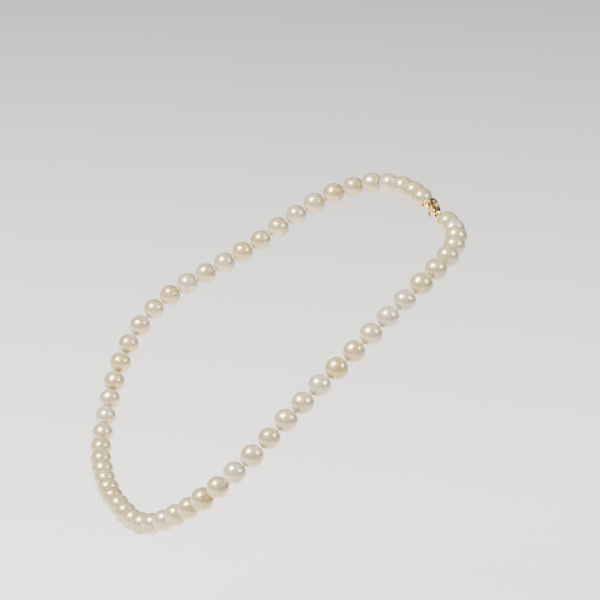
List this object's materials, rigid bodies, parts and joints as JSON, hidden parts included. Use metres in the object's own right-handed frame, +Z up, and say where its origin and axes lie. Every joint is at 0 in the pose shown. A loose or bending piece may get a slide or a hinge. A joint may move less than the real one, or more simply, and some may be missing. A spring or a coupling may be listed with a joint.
{
  "type": "pearl necklace",
  "caption": "Single-strand necklace of off-round pearls knotted on a silk thread, closed by a sprung claw clasp at the nape.",
  "frame": {"origin": "on the neck's centre line, level with the strand at the sides of the neck", "axes": "+Z up, the wearer faces -Y, +X is the wearer's left"},
  "size_m": [0.145, 0.1119, 0.0914],
  "materials": {
    "nacre_white": "satin nacre, cool white",
    "nacre_cream": "satin nacre, warm cream",
    "nacre_rose": "satin nacre, rosy white",
    "silk": "twisted silk thread",
    "gold": "polished gold plate",
    "spring_steel": "bright spring strip"
  },
  "bodies": {
    "strand": {"silk_thread": "silk", "silk_knots": "silk", "end_pearls_left": "nacre_white", "end_pearls_right": "nacre_white", "french_wire_left": "gold", "french_wire_right": "gold"},
    "jump_ring": {"claw_jump_ring": "gold"},
    "claw": {"claw_body": "gold", "lever_rivet": "gold", "lever_spring": "spring_steel"},
    "lever": {"claw_lever": "gold"},
    "end_ring": {"end_ring": "gold"},
    "pearl_06": {"pearl_06": "nacre_rose"},
    "pearl_07": {"pearl_07": "nacre_cream"},
    "pearl_08": {"pearl_08": "nacre_white"},
    "pearl_09": {"pearl_09": "nacre_white"},
    "pearl_10": {"pearl_10": "nacre_rose"},
    "pearl_11": {"pearl_11": "nacre_cream"},
    "pearl_12": {"pearl_12": "nacre_cream"},
    "pearl_13": {"pearl_13": "nacre_white"},
    "pearl_14": {"pearl_14": "nacre_rose"},
    "pearl_15": {"pearl_15": "nacre_rose"},
    "pearl_16": {"pearl_16": "nacre_cream"},
    "pearl_17": {"pearl_17": "nacre_white"},
    "pearl_18": {"pearl_18": "nacre_white"},
    "pearl_19": {"pearl_19": "nacre_rose"},
    "pearl_20": {"pearl_20": "nacre_cream"},
    "pearl_21": {"pearl_21": "nacre_cream"},
    "pearl_22": {"pearl_22": "nacre_white"},
    "pearl_23": {"pearl_23": "nacre_rose"},
    "pearl_24": {"pearl_24": "nacre_rose"},
    "pearl_25": {"pearl_25": "nacre_cream"},
    "pearl_26": {"pearl_26": "nacre_white"},
    "pearl_27": {"pearl_27": "nacre_white"},
    "pearl_28": {"pearl_28": "nacre_rose"},
    "pearl_29": {"pearl_29": "nacre_cream"},
    "pearl_30": {"pearl_30": "nacre_cream"},
    "pearl_31": {"pearl_31": "nacre_white"},
    "pearl_32": {"pearl_32": "nacre_rose"},
    "pearl_33": {"pearl_33": "nacre_rose"},
    "pearl_34": {"pearl_34": "nacre_cream"},
    "pearl_35": {"pearl_35": "nacre_white"},
    "pearl_36": {"pearl_36": "nacre_white"},
    "pearl_37": {"pearl_37": "nacre_rose"},
    "pearl_38": {"pearl_38": "nacre_cream"},
    "pearl_39": {"pearl_39": "nacre_cream"},
    "pearl_40": {"pearl_40": "nacre_white"},
    "pearl_41": {"pearl_41": "nacre_rose"},
    "pearl_42": {"pearl_42": "nacre_rose"},
    "pearl_43": {"pearl_43": "nacre_cream"},
    "pearl_44": {"pearl_44": "nacre_white"},
    "pearl_45": {"pearl_45": "nacre_white"},
    "pearl_46": {"pearl_46": "nacre_rose"},
    "pearl_47": {"pearl_47": "nacre_cream"},
    "pearl_48": {"pearl_48": "nacre_cream"},
    "pearl_49": {"pearl_49": "nacre_white"},
    "pearl_50": {"pearl_50": "nacre_rose"},
    "pearl_51": {"pearl_51": "nacre_rose"},
    "pearl_52": {"pearl_52": "nacre_cream"},
    "pearl_53": {"pearl_53": "nacre_white"}
  },
  "joints": [
    {"name": "clasp_roll", "type": "hinge", "parent": "strand", "child": "jump_ring", "pos_m": [0.00838, 0.0435, 0.026], "axis": [1, 0, 0], "range_deg": [-12, 12]},
    {"name": "claw_swing", "type": "hinge", "parent": "jump_ring", "child": "claw", "pos_m": [0.0048, 0.0435, 0.026], "axis": [0, 1, 0], "range_deg": [-2, 2]},
    {"name": "lever_hinge", "type": "hinge", "parent": "claw", "child": "lever", "pos_m": [0.00115, 0.0435, 0.0257], "axis": [0, 1, 0], "range_deg": [0, 26], "stiffness_Nm_per_rad": 0.004, "springref_deg": -25.78, "deforming": ["lever_spring"]},
    {"name": "end_ring_roll", "type": "hinge", "parent": "strand", "child": "end_ring", "pos_m": [-0.00838, 0.0435, 0.026], "axis": [1, 0, 0], "range_deg": [-12, 12]},
    {"name": "pearl_06_spin", "type": "hinge", "parent": "strand", "child": "pearl_06", "pos_m": [0.04583, 0.02995, 0.02176], "axis": [0.5686, -0.7453, -0.3483], "continuous": true},
    {"name": "pearl_07_spin", "type": "hinge", "parent": "strand", "child": "pearl_07", "pos_m": [0.04949, 0.02426, 0.01876], "axis": [0.4201, -0.7843, -0.4566], "continuous": true},
    {"name": "pearl_08_spin", "type": "hinge", "parent": "strand", "child": "pearl_08", "pos_m": [0.05217, 0.01846, 0.01507], "axis": [0.3009, -0.7837, -0.5434], "continuous": true},
    {"name": "pearl_09_spin", "type": "hinge", "parent": "strand", "child": "pearl_09", "pos_m": [0.0541, 0.01276, 0.01094], "axis": [0.2277, -0.7759, -0.5884], "continuous": true},
    {"name": "pearl_10_spin", "type": "hinge", "parent": "strand", "child": "pearl_10", "pos_m": [0.05567, 0.0071, 0.00658], "axis": [0.2008, -0.7729, -0.602], "continuous": true},
    {"name": "pearl_11_spin", "type": "hinge", "parent": "strand", "child": "pearl_11", "pos_m": [0.05717, 0.00148, 0.00226], "axis": [0.2151, -0.7776, -0.5908], "continuous": true},
    {"name": "pearl_12_spin", "type": "hinge", "parent": "strand", "child": "pearl_12", "pos_m": [0.05893, -0.00426, -0.00196], "axis": [0.2643, -0.7857, -0.5594], "continuous": true},
    {"name": "pearl_13_spin", "type": "hinge", "parent": "strand", "child": "pearl_13", "pos_m": [0.06111, -0.01009, -0.00601], "axis": [0.3217, -0.7832, -0.532], "continuous": true},
    {"name": "pearl_14_spin", "type": "hinge", "parent": "strand", "child": "pearl_14", "pos_m": [0.06367, -0.01581, -0.00989], "axis": [0.3718, -0.7694, -0.5194], "continuous": true},
    {"name": "pearl_15_spin", "type": "hinge", "parent": "strand", "child": "pearl_15", "pos_m": [0.06632, -0.02148, -0.01384], "axis": [0.3455, -0.7618, -0.548], "continuous": true},
    {"name": "pearl_16_spin", "type": "hinge", "parent": "strand", "child": "pearl_16", "pos_m": [0.06834, -0.027, -0.01808], "axis": [0.2056, -0.7573, -0.6199], "continuous": true},
    {"name": "pearl_17_spin", "type": "hinge", "parent": "strand", "child": "pearl_17", "pos_m": [0.06906, -0.03237, -0.02281], "axis": [-0.0017, -0.7277, -0.6859], "continuous": true},
    {"name": "pearl_18_spin", "type": "hinge", "parent": "strand", "child": "pearl_18", "pos_m": [0.06816, -0.03744, -0.02794], "axis": [-0.2438, -0.6567, -0.7137], "continuous": true},
    {"name": "pearl_19_spin", "type": "hinge", "parent": "strand", "child": "pearl_19", "pos_m": [0.06553, -0.04185, -0.03307], "axis": [-0.4755, -0.5471, -0.6889], "continuous": true},
    {"name": "pearl_20_spin", "type": "hinge", "parent": "strand", "child": "pearl_20", "pos_m": [0.06143, -0.04556, -0.03799], "axis": [-0.6255, -0.4524, -0.6357], "continuous": true},
    {"name": "pearl_21_spin", "type": "hinge", "parent": "strand", "child": "pearl_21", "pos_m": [0.05648, -0.04868, -0.04249], "axis": [-0.7149, -0.3899, -0.5804], "continuous": true},
    {"name": "pearl_22_spin", "type": "hinge", "parent": "strand", "child": "pearl_22", "pos_m": [0.05108, -0.05138, -0.04655], "axis": [-0.7687, -0.3521, -0.5339], "continuous": true},
    {"name": "pearl_23_spin", "type": "hinge", "parent": "strand", "child": "pearl_23", "pos_m": [0.04533, -0.05389, -0.05031], "axis": [-0.8024, -0.334, -0.4946], "continuous": true},
    {"name": "pearl_24_spin", "type": "hinge", "parent": "strand", "child": "pearl_24", "pos_m": [0.0393, -0.05619, -0.0536], "axis": [-0.8608, -0.2986, -0.4121], "continuous": true},
    {"name": "pearl_25_spin", "type": "hinge", "parent": "strand", "child": "pearl_25", "pos_m": [0.03269, -0.05809, -0.05603], "axis": [-0.9413, -0.2226, -0.2536], "continuous": true},
    {"name": "pearl_26_spin", "type": "hinge", "parent": "strand", "child": "pearl_26", "pos_m": [0.02553, -0.05945, -0.05737], "axis": [-0.9841, -0.1431, -0.1052], "continuous": true},
    {"name": "pearl_27_spin", "type": "hinge", "parent": "strand", "child": "pearl_27", "pos_m": [0.01824, -0.06035, -0.05793], "axis": [-0.9937, -0.1015, -0.0473], "continuous": true},
    {"name": "pearl_28_spin", "type": "hinge", "parent": "strand", "child": "pearl_28", "pos_m": [0.0109, -0.06101, -0.05824], "axis": [-0.9965, -0.0752, -0.0376], "continuous": true},
    {"name": "pearl_29_spin", "type": "hinge", "parent": "strand", "child": "pearl_29", "pos_m": [0.00363, -0.06139, -0.05844], "axis": [-0.9994, -0.0301, -0.0163], "continuous": true},
    {"name": "pearl_30_spin", "type": "hinge", "parent": "strand", "child": "pearl_30", "pos_m": [-0.0036, -0.06139, -0.05844], "axis": [-0.9994, 0.0298, 0.0162], "continuous": true},
    {"name": "pearl_31_spin", "type": "hinge", "parent": "strand", "child": "pearl_31", "pos_m": [-0.01095, -0.061, -0.05824], "axis": [-0.9964, 0.0755, 0.0377], "continuous": true},
    {"name": "pearl_32_spin", "type": "hinge", "parent": "strand", "child": "pearl_32", "pos_m": [-0.01828, -0.06035, -0.05793], "axis": [-0.9937, 0.1016, 0.0474], "continuous": true},
    {"name": "pearl_33_spin", "type": "hinge", "parent": "strand", "child": "pearl_33", "pos_m": [-0.02562, -0.05944, -0.05735], "axis": [-0.9838, 0.144, 0.1067], "continuous": true},
    {"name": "pearl_34_spin", "type": "hinge", "parent": "strand", "child": "pearl_34", "pos_m": [-0.03274, -0.05809, -0.05603], "axis": [-0.9409, 0.2231, 0.2547], "continuous": true},
    {"name": "pearl_35_spin", "type": "hinge", "parent": "strand", "child": "pearl_35", "pos_m": [-0.03927, -0.05619, -0.05361], "axis": [-0.8612, 0.2983, 0.4115], "continuous": true},
    {"name": "pearl_36_spin", "type": "hinge", "parent": "strand", "child": "pearl_36", "pos_m": [-0.04534, -0.05389, -0.0503], "axis": [-0.8023, 0.3341, 0.4947], "continuous": true},
    {"name": "pearl_37_spin", "type": "hinge", "parent": "strand", "child": "pearl_37", "pos_m": [-0.05106, -0.05139, -0.04656], "axis": [-0.7689, 0.352, 0.5338], "continuous": true},
    {"name": "pearl_38_spin", "type": "hinge", "parent": "strand", "child": "pearl_38", "pos_m": [-0.05651, -0.04866, -0.04246], "axis": [-0.7143, 0.3904, 0.5808], "continuous": true},
    {"name": "pearl_39_spin", "type": "hinge", "parent": "strand", "child": "pearl_39", "pos_m": [-0.0615, -0.04551, -0.03792], "axis": [-0.624, 0.4534, 0.6365], "continuous": true},
    {"name": "pearl_40_spin", "type": "hinge", "parent": "strand", "child": "pearl_40", "pos_m": [-0.06554, -0.04184, -0.03305], "axis": [-0.4749, 0.5475, 0.689], "continuous": true},
    {"name": "pearl_41_spin", "type": "hinge", "parent": "strand", "child": "pearl_41", "pos_m": [-0.06817, -0.03742, -0.02791], "axis": [-0.2425, 0.6572, 0.7136], "continuous": true},
    {"name": "pearl_42_spin", "type": "hinge", "parent": "strand", "child": "pearl_42", "pos_m": [-0.06907, -0.03239, -0.02282], "axis": [-0.0024, 0.7276, 0.686], "continuous": true},
    {"name": "pearl_43_spin", "type": "hinge", "parent": "strand", "child": "pearl_43", "pos_m": [-0.06833, -0.02703, -0.01811], "axis": [0.2047, 0.7572, 0.6202], "continuous": true},
    {"name": "pearl_44_spin", "type": "hinge", "parent": "strand", "child": "pearl_44", "pos_m": [-0.0663, -0.02143, -0.0138], "axis": [0.3463, 0.7618, 0.5475], "continuous": true},
    {"name": "pearl_45_spin", "type": "hinge", "parent": "strand", "child": "pearl_45", "pos_m": [-0.06365, -0.01578, -0.00987], "axis": [0.3717, 0.7695, 0.5194], "continuous": true},
    {"name": "pearl_46_spin", "type": "hinge", "parent": "strand", "child": "pearl_46", "pos_m": [-0.06108, -0.01002, -0.00597], "axis": [0.321, 0.7833, 0.5323], "continuous": true},
    {"name": "pearl_47_spin", "type": "hinge", "parent": "strand", "child": "pearl_47", "pos_m": [-0.05892, -0.00422, -0.00193], "axis": [0.2639, 0.7857, 0.5595], "continuous": true},
    {"name": "pearl_48_spin", "type": "hinge", "parent": "strand", "child": "pearl_48", "pos_m": [-0.05718, 0.00144, 0.00223], "axis": [0.2153, 0.7777, 0.5906], "continuous": true},
    {"name": "pearl_49_spin", "type": "hinge", "parent": "strand", "child": "pearl_49", "pos_m": [-0.05566, 0.0071, 0.00659], "axis": [0.2008, 0.7729, 0.602], "continuous": true},
    {"name": "pearl_50_spin", "type": "hinge", "parent": "strand", "child": "pearl_50", "pos_m": [-0.0541, 0.01276, 0.01093], "axis": [0.2276, 0.7758, 0.5884], "continuous": true},
    {"name": "pearl_51_spin", "type": "hinge", "parent": "strand", "child": "pearl_51", "pos_m": [-0.05215, 0.0185, 0.01509], "axis": [0.3017, 0.7838, 0.5428], "continuous": true},
    {"name": "pearl_52_spin", "type": "hinge", "parent": "strand", "child": "pearl_52", "pos_m": [-0.04945, 0.02434, 0.01882], "axis": [0.422, 0.7841, 0.4551], "continuous": true},
    {"name": "pearl_53_spin", "type": "hinge", "parent": "strand", "child": "pearl_53", "pos_m": [-0.04582, 0.02996, 0.02177], "axis": [0.5689, 0.7451, 0.348], "continuous": true}
  ]
}
